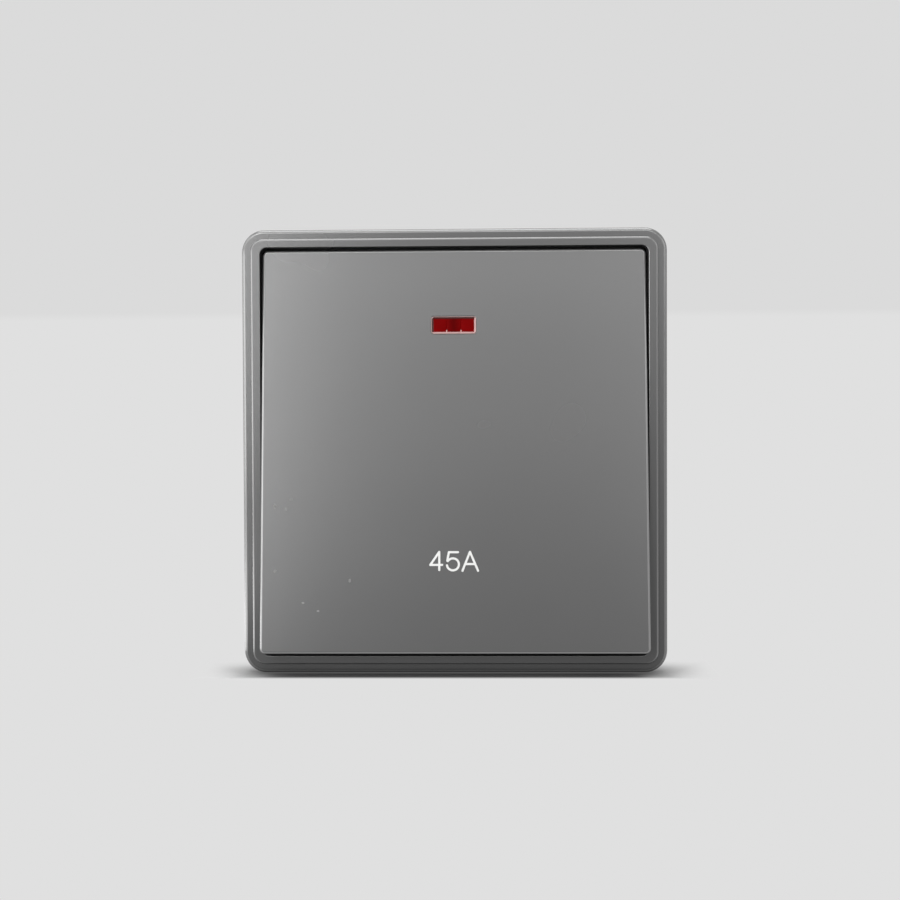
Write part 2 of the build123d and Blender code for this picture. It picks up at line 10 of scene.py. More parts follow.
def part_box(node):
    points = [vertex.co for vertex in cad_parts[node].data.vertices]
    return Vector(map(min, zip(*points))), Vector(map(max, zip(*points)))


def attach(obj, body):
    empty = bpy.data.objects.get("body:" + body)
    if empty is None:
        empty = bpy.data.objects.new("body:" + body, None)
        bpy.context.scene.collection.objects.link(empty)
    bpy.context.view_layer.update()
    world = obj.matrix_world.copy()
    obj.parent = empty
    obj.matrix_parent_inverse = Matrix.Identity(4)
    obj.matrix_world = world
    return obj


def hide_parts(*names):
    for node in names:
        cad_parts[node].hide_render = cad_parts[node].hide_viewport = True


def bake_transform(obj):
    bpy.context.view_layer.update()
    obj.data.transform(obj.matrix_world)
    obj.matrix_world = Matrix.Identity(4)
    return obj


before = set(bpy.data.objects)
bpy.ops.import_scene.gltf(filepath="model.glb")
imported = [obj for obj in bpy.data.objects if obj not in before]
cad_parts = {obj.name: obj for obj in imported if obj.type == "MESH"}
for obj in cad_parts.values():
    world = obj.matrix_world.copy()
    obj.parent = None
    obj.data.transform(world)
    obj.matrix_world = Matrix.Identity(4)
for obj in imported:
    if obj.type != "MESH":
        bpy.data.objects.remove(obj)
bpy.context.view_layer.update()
print("frame loaded:", len(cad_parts), "nodes")
mm = 0.001


# ---- camera ----
cameraView = {
    "place": (4.67 * mm, -257.36 * mm, 5.11 * mm),
    "yaw": 1.282,       # degrees to the left
    "pitch": -1.109,    # degrees, negative looks down
    "roll": 0.249,      # degrees clockwise
    "focalPixels": 1229.2,
    "imagePixels": 900.0,
    "sensor": 36.0,
    "clip": (0.01, 20.0),
}


def turnAbout(axis, degrees):
    return Matrix.Rotation(math.radians(degrees), 3, axis)


def makeCamera(view):
    camera = bpy.data.cameras.new("photoCamera")
    camera.sensor_width = view["sensor"]
    camera.sensor_fit = "HORIZONTAL"
    camera.lens = view["focalPixels"] / view["imagePixels"] * view["sensor"]
    camera.clip_start, camera.clip_end = view["clip"]
    yaw, pitch, roll = (turnAbout(axis, view[name])
                        for axis, name in (("Z", "yaw"), ("X", "pitch"), ("Y", "roll")))
    turn = yaw @ pitch @ roll
    right, ahead, up = (turn @ Vector(v) for v in ((1, 0, 0), (0, 1, 0), (0, 0, 1)))
    basis = Matrix((right, up, -ahead)).transposed()
    holder = bpy.data.objects.new("photoCamera", camera)
    holder.matrix_world = Matrix.Translation(view["place"]) @ basis.to_4x4()
    bpy.context.scene.collection.objects.link(holder)
    bpy.context.scene.camera = holder


makeCamera(cameraView)


# ---- shader helpers; a tree is the node tree of a material, a group or the world ----
def newMaterial(name):
    material = bpy.data.materials.new(name)
    material.use_nodes = True
    return material, material.node_tree, material.node_tree.nodes["Principled BSDF"]


def startGroup(name, inputs, outputs):
    group = bpy.data.node_groups.new(name, "ShaderNodeTree")
    for label, default in inputs.items():
        socket = group.interface.new_socket(label, in_out="INPUT", socket_type="NodeSocketFloat")
        socket.default_value = default
    for label in outputs:
        group.interface.new_socket(label, in_out="OUTPUT", socket_type="NodeSocketFloat")
    return group, group.nodes.new("NodeGroupInput"), group.nodes.new("NodeGroupOutput")


def putGroup(tree, group, values):
    node = tree.nodes.new("ShaderNodeGroup")
    node.node_tree = group
    for name, value in values.items():
        node.inputs[name].default_value = value
    return node


def plug(tree, value, socket):
    # Sets the socket to a number, or links another node's output to it.
    if isinstance(value, (int, float)):
        socket.default_value = value
    else:
        tree.links.new(value, socket)


def mathNode(tree, operation, *values):
    node = tree.nodes.new("ShaderNodeMath")
    node.operation = operation
    for value, socket in zip(values, node.inputs):
        plug(tree, value, socket)
    return node.outputs[0]


def noiseNode(tree, vector, scale, detail, rough):
    node = tree.nodes.new("ShaderNodeTexNoise")
    node.inputs["Detail"].default_value = detail
    node.inputs["Roughness"].default_value = rough
    tree.links.new(vector, node.inputs["Vector"])
    plug(tree, scale, node.inputs["Scale"])
    return node.outputs["Fac"]


def softStep(tree, value, low, high):
    node = tree.nodes.new("ShaderNodeMapRange")
    node.interpolation_type = "SMOOTHSTEP"
    node.inputs["From Min"].default_value = low
    node.inputs["From Max"].default_value = high
    tree.links.new(value, node.inputs["Value"])
    return node.outputs["Result"]


def mapRange(tree, value, low, high, fromLow, fromHigh):
    node = tree.nodes.new("ShaderNodeMapRange")
    node.inputs["From Min"].default_value = fromLow
    node.inputs["From Max"].default_value = fromHigh
    node.inputs["To Min"].default_value = low
    node.inputs["To Max"].default_value = high
    tree.links.new(value, node.inputs["Value"])
    return node.outputs["Result"]


def mixColour(tree, factor, first, second):
    # Each of the two is a colour, or the output of a node that gives one.
    mix = tree.nodes.new("ShaderNodeMix")
    mix.data_type = "RGBA"
    for value, socket in ((first, mix.inputs["A"]), (second, mix.inputs["B"])):
        if isinstance(value, tuple):
            socket.default_value = (*value, 1)
        else:
            tree.links.new(value, socket)
    tree.links.new(factor, mix.inputs["Factor"])
    return mix.outputs["Result"]


def mixShader(tree, factor, first, second):
    mix = tree.nodes.new("ShaderNodeMixShader")
    for value, socket in zip((factor, first, second), mix.inputs):
        tree.links.new(value, socket)
    return mix.outputs[0]


def addBump(tree, surface, height, distance):
    bump = tree.nodes.new("ShaderNodeBump")
    bump.inputs["Distance"].default_value = distance
    tree.links.new(height, bump.inputs["Height"])
    tree.links.new(bump.outputs["Normal"], surface.inputs["Normal"])


def objectPlace(tree):
    return tree.nodes.new("ShaderNodeTexCoord").outputs["Object"]


def objectAxes(tree):
    # The place along x, y and z, each for itself.
    split = tree.nodes.new("ShaderNodeSeparateXYZ")
    tree.links.new(objectPlace(tree), split.inputs[0])
    return split.outputs


def seenDirectly(tree):
    # 1 for the rays of the camera, of reflections and through glass, 0 for all others.
    ray = tree.nodes.new("ShaderNodeLightPath").outputs
    seen = mathNode(tree, "MAXIMUM", ray["Is Camera Ray"], ray["Is Glossy Ray"])
    return mathNode(tree, "MAXIMUM", seen, ray["Is Transmission Ray"])


# ---- shared shader groups ----
mouldGrain = {
    "inputs": {"Fine Scale": 5200.0, "Cloud Scale": 60.0},
    "fine": (3.0, 0.6),     # octaves and roughness of the noise
    "cloud": (1.0, 0.4),
}
roundedEdge = {
    "inputs": {"Amount": 1.0},
    "front": (0.98, 0.995),    # of the normal's y: beyond this it is a front face
    "wall": (0.3, 0.6),        # and short of this a side wall
    "down": (-0.85, -0.35),    # of the normal's z: short of this it looks straight down
}


def makeGrainGroup(spec):
    # Spark-eroded mould grain, a fine noise, and a slow cloud for tint and sheen.
    group, given, out = startGroup("mouldGrain", spec["inputs"], ("Height", "Cloud"))
    place = objectPlace(group)
    fine = noiseNode(group, place, given.outputs["Fine Scale"], *spec["fine"])
    cloud = noiseNode(group, place, given.outputs["Cloud Scale"], *spec["cloud"])
    group.links.new(fine, out.inputs["Height"])
    group.links.new(cloud, out.inputs["Cloud"])
    return group


def makeEdgeGroup(spec):
    # 1 on the rounds between front faces and side walls, where the normal is neither along y nor
    # square to it; 0 again where they look straight down, where the painted highlight would fall in
    # shade. The mask places a painted highlight on the edges as well as their polish.
    group, given, out = startGroup("roundedEdge", spec["inputs"], ("Mask",))
    split = group.nodes.new("ShaderNodeSeparateXYZ")
    group.links.new(group.nodes.new("ShaderNodeTexCoord").outputs["Normal"], split.inputs[0])
    facing = mathNode(group, "ABSOLUTE", split.outputs["Y"])
    notFront = mathNode(group, "SUBTRACT", 1.0, softStep(group, facing, *spec["front"]))
    notDown = softStep(group, split.outputs["Z"], *spec["down"])
    mask = mathNode(group, "MULTIPLY", softStep(group, facing, *spec["wall"]), notFront)
    mask = mathNode(group, "MULTIPLY", mask, notDown)
    mask = mathNode(group, "MULTIPLY", mask, given.outputs["Amount"])
    group.links.new(mask, out.inputs["Mask"])
    return group


grainGroup = makeGrainGroup(mouldGrain)
edgeGroup = makeEdgeGroup(roundedEdge)
print("shader groups ready")


# ---- moulded plastics ----
def greyLook(level, **changes):
    # What the grey plastics share; their two clouded tints lie just below and above the level.
    look = {
        "dark": (level * 0.98, level * 0.98, level * 0.985),
        "light": (level * 1.02, level * 1.018, level * 1.02),
        "grain": 5200.0, "cloud": 60.0, "depth": 0.004 * mm,
        "rough": 0.4, "spread": 0.01, "gloss": 0.5,
        # On rounded edges: how much they differ at all, and their painted highlight tint,
        # smoothness and coat.
        "polish": 1.0, "edgeTint": (level * 1.3,) * 3, "edgePolish": 0.12,
        "coatRough": 0.26, "coatIor": 1.8,
    }
    look.update(changes)
    return look


plasticLooks = {
    "framePlastic": greyLook(0.031, rough=0.27, gloss=0.8, edgeTint=(0.075, 0.075, 0.075)),
    "rockerPlastic": greyLook(0.05, rough=0.27, gloss=0.8, edgeTint=(0.14, 0.14, 0.14)),
    "chassisPlastic": greyLook(0.035, rough=0.5, polish=0.6, grain=2600.0, depth=0.01 * mm),
    "housingPlastic": greyLook(0.02, rough=0.45, polish=0.8, grain=2200.0, depth=0.012 * mm),
    "carrierPlastic": greyLook(0.6, rough=0.45, polish=0.3),
}


def mouldedPlastic(name, look):
    # Two close tints clouded together and fine grain in the bump; rounded edges are smoother and
    # glossier, with a coat, and carry a painted highlight, a paler tint.
    material, tree, surface = newMaterial(name)
    grain = putGroup(tree, grainGroup, {"Fine Scale": look["grain"], "Cloud Scale": look["cloud"]})
    cloud = grain.outputs["Cloud"]
    mask = putGroup(tree, edgeGroup, {"Amount": look["polish"]}).outputs["Mask"]
    tint = mixColour(tree, cloud, look["dark"], look["light"])
    # The paler tint on the rounded edges is a painted highlight.
    tree.links.new(mixColour(tree, mask, tint, look["edgeTint"]), surface.inputs["Base Color"])
    low, high = look["rough"] - look["spread"], look["rough"] + look["spread"]
    rough = mapRange(tree, cloud, low, high, 0.0, 1.0)
    rough = mathNode(tree, "MULTIPLY_ADD", mask, -look["edgePolish"], rough)
    tree.links.new(rough, surface.inputs["Roughness"])
    tree.links.new(mask, surface.inputs["Coat Weight"])
    surface.inputs["Coat Roughness"].default_value = look["coatRough"]
    surface.inputs["Coat IOR"].default_value = look["coatIor"]
    surface.inputs["Specular IOR Level"].default_value = look["gloss"]
    addBump(tree, surface, grain.outputs["Height"], look["depth"])
    return material


plastics = {name: mouldedPlastic(name, look) for name, look in plasticLooks.items()}


# ---- metals ----
metalNoise = {
    "detail": 4.0,
    "rough": 0.5,
    "range": (0.3, 0.7),    # the part of the noise's values that the surface's roughness follows
    "spread": 0.08,         # of the surface's roughness, up and down
}
metalLooks = {
    "rolledBrass": {"dark": (0.56, 0.34, 0.13), "light": (0.78, 0.55, 0.25), "rough": 0.32,
                    "stretch": (1.0, 1.0, 0.08), "scale": 2600.0, "depth": 0.004 * mm},
    "turnedBrass": {"dark": (0.6, 0.41, 0.15), "light": (0.8, 0.6, 0.27), "rough": 0.28,
                    "stretch": (1.0, 1.0, 0.15), "scale": 3000.0, "depth": 0.004 * mm},
    "zincSteel": {"dark": (0.5, 0.5, 0.5), "light": (0.68, 0.68, 0.7), "rough": 0.34,
                  "stretch": (1.0, 1.0, 1.0), "scale": 1500.0, "depth": 0.004 * mm},
    "springSteel": {"dark": (0.45, 0.45, 0.46), "light": (0.6, 0.6, 0.62), "rough": 0.25,
                    "stretch": (1.0, 0.2, 1.0), "scale": 3000.0, "depth": 0.003 * mm},
    "silverAlloy": {"dark": (0.7, 0.69, 0.67), "light": (0.86, 0.85, 0.83), "rough": 0.3,
                    "stretch": (1.0, 1.0, 1.0), "scale": 2500.0, "depth": 0.004 * mm},
    "tinnedWire": {"dark": (0.58, 0.58, 0.57), "light": (0.74, 0.74, 0.72), "rough": 0.3,
                   "stretch": (1.0, 1.0, 1.0), "scale": 2500.0, "depth": 0.003 * mm},
}


def workedMetal(name, look):
    # One noise in tint, roughness and bump, stretched the way the metal was rolled or turned.
    material, tree, surface = newMaterial(name)
    stretch = tree.nodes.new("ShaderNodeMapping")
    stretch.inputs["Scale"].default_value = look["stretch"]
    tree.links.new(objectPlace(tree), stretch.inputs["Vector"])
    noise = noiseNode(tree, stretch.outputs["Vector"], look["scale"], metalNoise["detail"],
                      metalNoise["rough"])
    tint = mixColour(tree, noise, look["dark"], look["light"])
    tree.links.new(tint, surface.inputs["Base Color"])
    low, high = look["rough"] - metalNoise["spread"], look["rough"] + metalNoise["spread"]
    rough = mapRange(tree, noise, low, high, *metalNoise["range"])
    tree.links.new(rough, surface.inputs["Roughness"])
    surface.inputs["Metallic"].default_value = 1.0
    addBump(tree, surface, noise, look["depth"])
    return material


metals = {name: workedMetal(name, look) for name, look in metalLooks.items()}


# ---- lens, lamp, resistor, ink, dust ----
lensLook = {
    "grain": {"Fine Scale": 900.0, "Cloud Scale": 420.0},
    "facets": ((0.11, 0.0006, 0.0008), (0.17, 0.0008, 0.0012)),
    "middle": (0.075, 0.0005, 0.0006),
    "reach": 1.7 * mm,      # from the middle to each side, where its own tint ends
    "rough": 0.35,
    "gloss": 0.01,
    "thinRough": 0.2,
    "rim": ((0.3, 0.2, 0.19), (0.37, 0.26, 0.245)),
    # walls in painted shade and in painted highlight, two copies of one plastic
    "shadedWallPainted": ((0.035, 0.006, 0.006), (0.06, 0.012, 0.01)),
    "litWallPainted": ((0.42, 0.26, 0.255), (0.52, 0.34, 0.33)),
}
glassLook = {
    "tint": (0.95, 0.85, 0.78, 1),
    "rough": 0.05,
    "clear": 1.0,
    "ior": 1.47,
}
resistorLook = {
    "body": (0.55, 0.4, 0.22, 1),
    # each band's start and end as shares of the length, and its colour
    "bands": ((0.12, 0.2, (0.25, 0.08, 0.02, 1)), (0.36, 0.43, (0.01, 0.01, 0.01, 1)),
              (0.55, 0.62, (0.6, 0.45, 0.02, 1)), (0.82, 0.9, (0.5, 0.36, 0.1, 1))),
    "rough": 0.35,
}
paleLook = {
    "grain": {"Fine Scale": 6000.0, "Cloud Scale": 900.0},
    "depth": 0.003 * mm,
    # two tints and the roughness
    "ink": ((0.6, 0.6, 0.59), (0.68, 0.68, 0.67), 0.5),
    "dust": ((0.1, 0.1, 0.1), (0.13, 0.13, 0.125), 0.4),
}


def facetMaterial(look):
    # Deep red dyed plastic, darker towards the middle.
    material, tree, surface = newMaterial("redLens")
    grain = putGroup(tree, grainGroup, look["grain"])
    tint = mixColour(tree, grain.outputs["Cloud"], *look["facets"])
    across = mathNode(tree, "ABSOLUTE", objectAxes(tree)["X"])
    outward = mapRange(tree, across, 0.0, 1.0, 0.0, look["reach"])
    tree.links.new(mixColour(tree, outward, look["middle"], tint), surface.inputs["Base Color"])
    surface.inputs["Roughness"].default_value = look["rough"]
    surface.inputs["Specular IOR Level"].default_value = look["gloss"]
    return material


def thinLensMaterial(name, look, dark, light):
    # The same moulding where it is thin, paler: the rim, and the walls, whose dark and pale copies
    # are painted shade and painted highlight.
    material, tree, surface = newMaterial(name)
    grain = putGroup(tree, grainGroup, look["grain"])
    tint = mixColour(tree, grain.outputs["Cloud"], dark, light)
    tree.links.new(tint, surface.inputs["Base Color"])
    surface.inputs["Roughness"].default_value = look["thinRough"]
    return material


def glassMaterial(look):
    material, tree, surface = newMaterial("lampGlass")
    surface.inputs["Base Color"].default_value = look["tint"]
    surface.inputs["Roughness"].default_value = look["rough"]
    surface.inputs["Transmission Weight"].default_value = look["clear"]
    surface.inputs["IOR"].default_value = look["ior"]
    return material


def resistorMaterial(look):
    # Lacquered body with four colour bands along x.
    material, tree, surface = newMaterial("bandedResistor")
    low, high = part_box("lamp_resistor")
    along = mapRange(tree, objectAxes(tree)["X"], 0.0, 1.0, low.x, high.x)
    ramp = tree.nodes.new("ShaderNodeValToRGB")
    ramp.color_ramp.interpolation = "CONSTANT"
    stops = [(0.0, look["body"])]
    for start, end, colour in look["bands"]:
        stops += [(start, colour), (end, look["body"])]
    while len(ramp.color_ramp.elements) < len(stops):
        ramp.color_ramp.elements.new(0.5)
    for element, (spot, colour) in zip(ramp.color_ramp.elements, stops):
        element.position = spot
        element.color = colour
    tree.links.new(along, ramp.inputs["Fac"])
    tree.links.new(ramp.outputs["Color"], surface.inputs["Base Color"])
    surface.inputs["Roughness"].default_value = look["rough"]
    return material


def paleMaterial(name, look, dark, light, rough):
    # Printed ink and dust: two close tints and a faint grain.
    material, tree, surface = newMaterial(name)
    grain = putGroup(tree, grainGroup, look["grain"])
    tint = mixColour(tree, grain.outputs["Cloud"], dark, light)
    tree.links.new(tint, surface.inputs["Base Color"])
    surface.inputs["Roughness"].default_value = rough
    addBump(tree, surface, grain.outputs["Height"], look["depth"])
    return material


redLens = facetMaterial(lensLook)
dullLensRim = thinLensMaterial("dullLensRim", lensLook, *lensLook["rim"])
# The lens walls in painted shade and in painted highlight.
lensWallPaintedShade = thinLensMaterial("lensWallPaintedShade", lensLook, *lensLook["shadedWallPainted"])
lensWallPaintedHighlight = thinLensMaterial("lensWallPaintedHighlight", lensLook, *lensLook["litWallPainted"])
lampGlass = glassMaterial(glassLook)
bandedResistor = resistorMaterial(resistorLook)
whiteInk = paleMaterial("whiteInk", paleLook, *paleLook["ink"])
paleDust = paleMaterial("paleDust", paleLook, *paleLook["dust"])

# The longest of these that a node's name starts with gives its material.
finishOf = {
    "front_frame": plastics["framePlastic"],
    "rocker_cover": plastics["rockerPlastic"],
    "indicator_lens": redLens,
    "mounting_chassis": plastics["chassisPlastic"],
    "mechanism_housing": plastics["housingPlastic"],
    "mechanism_cover": plastics["housingPlastic"],
    "rocker_carrier": plastics["carrierPlastic"],
    "plunger_": plastics["carrierPlastic"],
    "plunger_spring_": metals["springSteel"],
    "housing_screws": metals["zincSteel"],
    "clamp_screws": metals["zincSteel"],
    "contact_lever_": metals["rolledBrass"],
    "load_strap_": metals["rolledBrass"],
    "supply_strap_": metals["rolledBrass"],
    "terminal_": metals["turnedBrass"],
    "moving_tip_": metals["silverAlloy"],
    "fixed_contact_tips": metals["silverAlloy"],
    "indicator_lamp": lampGlass,
    "lamp_resistor": bandedResistor,
    "lamp_leads": metals["tinnedWire"],
}
for nodeName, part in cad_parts.items():
    best = max((key for key in finishOf if nodeName.startswith(key)), key=len)
    part.data.materials.clear()
    part.data.materials.append(finishOf[best])
print("materials on", len(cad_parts), "nodes")


# ---- the rocker's own plane ----
rockerPlane = {
    "pivot": (0, -7.0 * mm, 0),
    "faceAhead": 5.0 * mm,   # the face lies this far in front of the pivot
    "tilt": -4.9,            # degrees about x at rest
}


def onRocker(points):
    # From (x, height above the face, z) in millimetres, the rocker level, to the model's frame.
    points = np.asarray(points, float) * mm
    level = np.stack([points[:, 0], -rockerPlane["faceAhead"] - points[:, 1], points[:, 2]], 1)
    turn = np.array(turnAbout("X", rockerPlane["tilt"]))
    return level @ turn.T + np.array(rockerPlane["pivot"])


def meshPiece(name, points, faces, body, materials):
    mesh = bpy.data.meshes.new(name)
    mesh.from_pydata(points.tolist(), [], faces)
    mesh.update()
    for material in materials:
        mesh.materials.append(material)
    piece = bpy.data.objects.new(name, mesh)
    bpy.context.scene.collection.objects.link(piece)
    if body:
        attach(piece, body)
    return piece


# ---- indicator lens ----
lensShape = {
    "height": 25.1,           # up the rocker, millimetres
    "half": (4.54, 1.79),
    "corner": 0.58,
    "below": 0.02,            # rim under the rocker's face
    "rim": 0.16,
    "edge": 0.12,
    "sink": 0.35,
    "wall": 0.3,
    "floorFrom": 0.9,         # of the wall's width, where the red floor starts
    "pitch": 2.9,
    "groove": (0.12, 0.04),   # half width and depth
    # the pale groove ends are a painted highlight
    "tick": (0.1, 0.4),       # pale lower ends of the grooves: half width and length
    "pillow": 0.07,
    "step": 0.05,
    "skirt": 1.97,
    "foot": 0.05,             # the border and the flat back lie this much deeper, inside the flange
    "flange": (5.7, 2.95, 2.0, 2.7),   # half sizes, front and back depth
}


def smoothUp(value, low, high):
    t = np.clip((value - low) / (high - low), 0, 1)
    return t * t * (3 - 2 * t)


def insideRounded(x, z, halfX, halfZ, corner):
    # Depth inside a rectangle with round corners, positive inside.
    qx, qz = np.abs(x) - halfX + corner, np.abs(z) - halfZ + corner
    beyond = np.hypot(np.maximum(qx, 0), np.maximum(qz, 0))
    return corner - beyond - np.minimum(np.maximum(qx, qz), 0)


def lensHeight(x, z, s):
    # Rim with a quarter-round edge, a sloped wall down to the facets, a V between facets, and each
    # facet crowned, falling with the fourth power of the way from its middle to its edges.
    innerX, innerZ = s["half"][0] - s["rim"], s["half"][1] - s["rim"]
    line = s["pitch"] / 2
    outer = insideRounded(x, z, *s["half"], s["corner"])
    inner = insideRounded(x, z, innerX, innerZ, s["corner"] - s["edge"])
    edge = np.clip(s["edge"] - outer, 0, s["edge"])
    rim = -s["below"] - s["edge"] + np.sqrt(s["edge"] ** 2 - edge ** 2)
    slope = smoothUp(inner, 0, s["wall"])
    fromLine = np.minimum(np.abs(x - line), np.abs(x + line))
    groove = s["groove"][1] * np.clip(1 - fromLine / s["groove"][0], 0, 1) * (inner > 0)
    inMiddle = np.abs(x) < line
    centre = np.where(inMiddle, 0, np.sign(x) * (line + innerX) / 2)
    reach = np.where(inMiddle, line, (innerX - line) / 2)
    across, upward = np.clip((x - centre) / reach, -1, 1), np.clip(z / innerZ, -1, 1)
    crown = s["pillow"] * (1 - across ** 4) * (1 - upward ** 4) * slope
    height = rim - s["sink"] * slope - groove + crown
    return np.where(outer > 0, height, -s["skirt"]), inner


def cellMiddles(grid):
    # Mean of each cell's four corners.
    return (grid[:-1, :-1] + grid[:-1, 1:] + grid[1:, 1:] + grid[1:, :-1]) / 4


def lensKinds(x, z, inner, s):
    # Material of each cell: 0 is the rim, 1 the right and bottom walls and the lower ends of the
    # grooves, which carry a painted highlight, 2 the other walls, which carry painted shade, and 3
    # the red floor.
    halfX, halfZ = s["half"]
    low = halfZ - s["rim"] - s["wall"] - s["tick"][1]
    tick = (np.abs(np.abs(x) - s["pitch"] / 2) < s["tick"][0]) & (z < -low)
    # Walls nearest the right or the bottom side get the painted highlight, the others painted
    # shade.
    toRight = halfX - x < np.minimum(halfX + x, halfZ - z)
    toBottom = halfZ + z < np.minimum(halfZ - z, halfX + x)
    wall = np.where(toRight | toBottom, 1, 2)
    onWall = inner < s["wall"] * s["floorFrom"]
    return np.select([inner <= 0, tick, onWall], [0, 1, wall], 3).ravel()


def makeLens(s):
    reachX, reachZ = s["half"][0] + s["step"], s["half"][1] + s["step"]
    back = -s["skirt"] - s["foot"]
    xs = np.linspace(-reachX, reachX, round(2 * reachX / s["step"]) + 1)
    zs = np.linspace(-reachZ, reachZ, round(2 * reachZ / s["step"]) + 1)
    gridX, gridZ = np.meshgrid(xs, zs)
    height, inner = lensHeight(gridX, gridZ, s)
    height[[0, -1]] = back
    height[:, [0, -1]] = back
    points = np.stack([gridX.ravel(), height.ravel(), gridZ.ravel() + s["height"]], 1)
    index = np.arange(len(points)).reshape(gridX.shape)
    sheet = np.stack([index[:-1, :-1], index[:-1, 1:], index[1:, 1:], index[1:, :-1]], -1)
    sheet = sheet.reshape(-1, 4)
    kinds = lensKinds(cellMiddles(gridX), cellMiddles(gridZ), cellMiddles(inner), s)
    # A flat fan closes the sheet's border at the back, clockwise as seen from the front.
    border = np.concatenate([index[:, 0], index[-1, 1:], index[-2::-1, -1], index[0, -2:0:-1]])
    hub = np.array([(0, back, s["height"])])
    fan = np.stack([border, np.roll(border, -1), np.full(len(border), len(points))], 1)
    # The flange behind the window is a plain block.
    halfX, halfZ, near, far = s["flange"]
    corners = np.array([(sx * halfX, -y, sz * halfZ + s["height"]) for y in (near, far)
                        for sx, sz in ((-1, -1), (1, -1), (1, 1), (-1, 1))])
    block = np.array([(0, 1, 2, 3), (7, 6, 5, 4), (0, 4, 5, 1), (1, 5, 6, 2), (2, 6, 7, 3),
                      (3, 7, 4, 0)]) + len(points) + 1
    faces = sheet.tolist() + fan.tolist() + block.tolist()
    kinds = np.concatenate([kinds, np.full(len(fan) + len(block), 3)])
    points = onRocker(np.concatenate([points, hub, corners]))
    piece = meshPiece("facetedLens", points, faces, "rocker",
                      [dullLensRim, lensWallPaintedHighlight, lensWallPaintedShade, redLens])
    piece.data.polygons.foreach_set("material_index", kinds)
    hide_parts("indicator_lens")
    return piece


facetedLens = makeLens(lensShape)
print("lens made:", len(facetedLens.data.polygons), "faces")


# ---- printed rating ----
def arcPoints(cx, cz, radius, start, end, steps):
    angles = np.radians(np.linspace(start, end, steps))
    return np.stack([cx + radius * np.cos(angles), cz + radius * np.sin(angles)], 1)


printing = {
    "centre": (0.02, -22.22),   # x and z on the rocker, millimetres
    # the three characters' strokes, about the centre
    "strokes": (
        [(-3.03, 1.87), (-4.81, -0.7)],
        [(-4.81, -0.7), (-2.46, -0.7)],
        [(-3.03, 1.87), (-3.03, -1.71)],
        [(0.7, 1.81), (-1.11, 1.81)],
        [(-1.11, 1.81), (-1.43, 0.13)],
        arcPoints(-0.32, -0.6, 1.19, 146, -170, 40),
        [(1.58, -1.87), (3.07, 1.87)],
        [(3.07, 1.87), (4.67, -1.87)],
        [(2.11, -0.54), (4.1, -0.54)],
    ),
    "linePoints": 6,            # along a straight stroke
    "stroke": 0.43,
    "height": 0.03,
    "sink": 0.02,
    "capSteps": 12,
    "lift": 0.001,              # from each stroke to the next, so that no two tops coincide
}


def strokeOutline(path, width, steps):
    # The outline of a ribbon of constant width along a path, round at both ends.
    ahead = np.gradient(path, axis=0)
    ahead /= np.linalg.norm(ahead, axis=1)[:, None]
    left = np.stack([-ahead[:, 1], ahead[:, 0]], 1)
    sweep = np.linspace(-np.pi / 2, np.pi / 2, steps)[1:-1, None]
    half = width / 2
    endCap = path[-1] + half * (np.cos(sweep) * ahead[-1] + np.sin(sweep) * left[-1])
    startCap = path[0] - half * (np.cos(sweep) * ahead[0] + np.sin(sweep) * left[0])
    return np.concatenate([path - left * half, endCap, (path + left * half)[::-1], startCap])


def makePrint(spec):
    # Each stroke is a flat solid: its outline at two heights, with a wall between them.
    points, faces, base = [], [], 0
    for order, stroke in enumerate(spec["strokes"]):
        path = np.asarray(stroke, float)
        if len(path) == 2:
            path = np.linspace(path[0], path[1], spec["linePoints"])
        outline = strokeOutline(path + np.array(spec["centre"]), spec["stroke"], spec["capSteps"])
        count = len(outline)
        for height in (spec["height"] + order * spec["lift"], -spec["sink"]):
            points.append(np.stack([outline[:, 0], np.full(count, height), outline[:, 1]], 1))
        top = np.arange(base, base + count)
        beside = np.roll(top, -1)
        walls = np.stack([top, top + count, beside + count, beside], 1)
        faces += [top.tolist(), (top[::-1] + count).tolist()] + walls.tolist()
        base += 2 * count
    points = onRocker(np.concatenate(points))
    meshPiece("printedRating", points, faces, "rocker", [whiteInk])


makePrint(printing)
print("rating printed")


# ---- dust specks that the photograph shows on the lower left of the rocker ----
dustSpots = {
    # x, z and radius on the rocker, millimetres
    "spots": ((-35.8, -11.2, 0.4), (-33.6, -11.8, 0.28), (-32.6, -9.8, 0.3), (-35.7, -24.1, 0.3),
              (-20.8, -26.0, 0.34), (-30.1, -30.4, 0.26), (-27.1, -32.0, 0.26)),
    "height": 0.09,                   # of the radius
    "rings": 4,
    "around": 14,
    "waves": ((2, 0.25), (5, 0.12)),  # number round the outline, and size as a share of the radius
    "phase": 6.0,                     # each wave starts at random from 0 to this, in radians
    "sunk": 0.01,
    "under": 0.02,
    "seed": 7,
}


